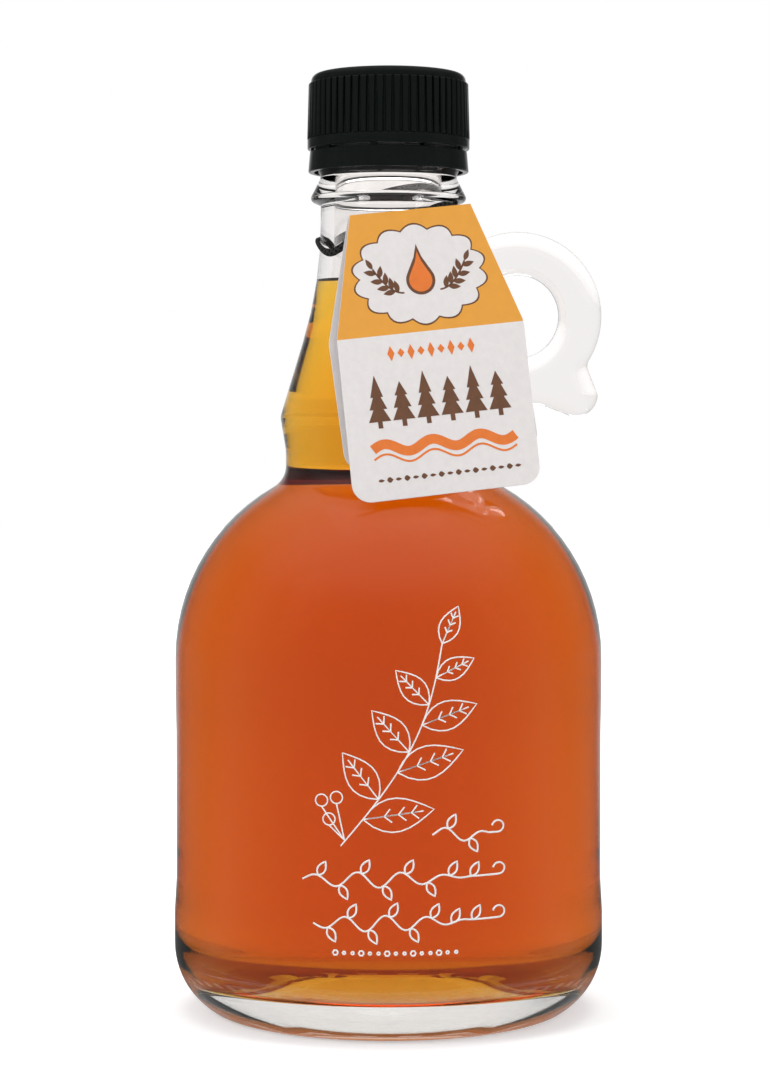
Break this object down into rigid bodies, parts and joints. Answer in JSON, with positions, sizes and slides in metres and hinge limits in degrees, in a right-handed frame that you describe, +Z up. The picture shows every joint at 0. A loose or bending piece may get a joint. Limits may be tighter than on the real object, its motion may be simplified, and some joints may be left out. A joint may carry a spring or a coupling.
{
  "type": "maple syrup jug",
  "caption": "Clear glass syrup jug with a round body, a small ring handle on its neck, a black ribbed screw cap and a folded card tag on an elastic loop.",
  "frame": {"origin": "on the jug's axis, at the plane it stands on", "axes": "+Z up along the jug's axis; +X towards the ring handle; the tag hangs on the -Y side"},
  "size_m": [0.0864, 0.0864, 0.1877],
  "materials": {
    "clear_glass": "clear flint glass, smooth, with faint mould waviness",
    "amber_syrup": "clear dark amber syrup, golden where thin",
    "black_plastic": "black polypropylene, satin gloss",
    "tag_card": "white coated card, printed in orange and brown",
    "black_elastic": "braided black elastic",
    "white_enamel": "thin white enamel lines fired on the glass"
  },
  "bodies": {
    "root": {"jug_glass": "clear_glass", "syrup": "amber_syrup", "screw_cap": "black_plastic", "neck_tag": "tag_card", "tag_elastic": "black_elastic"}
  },
  "joints": []
}
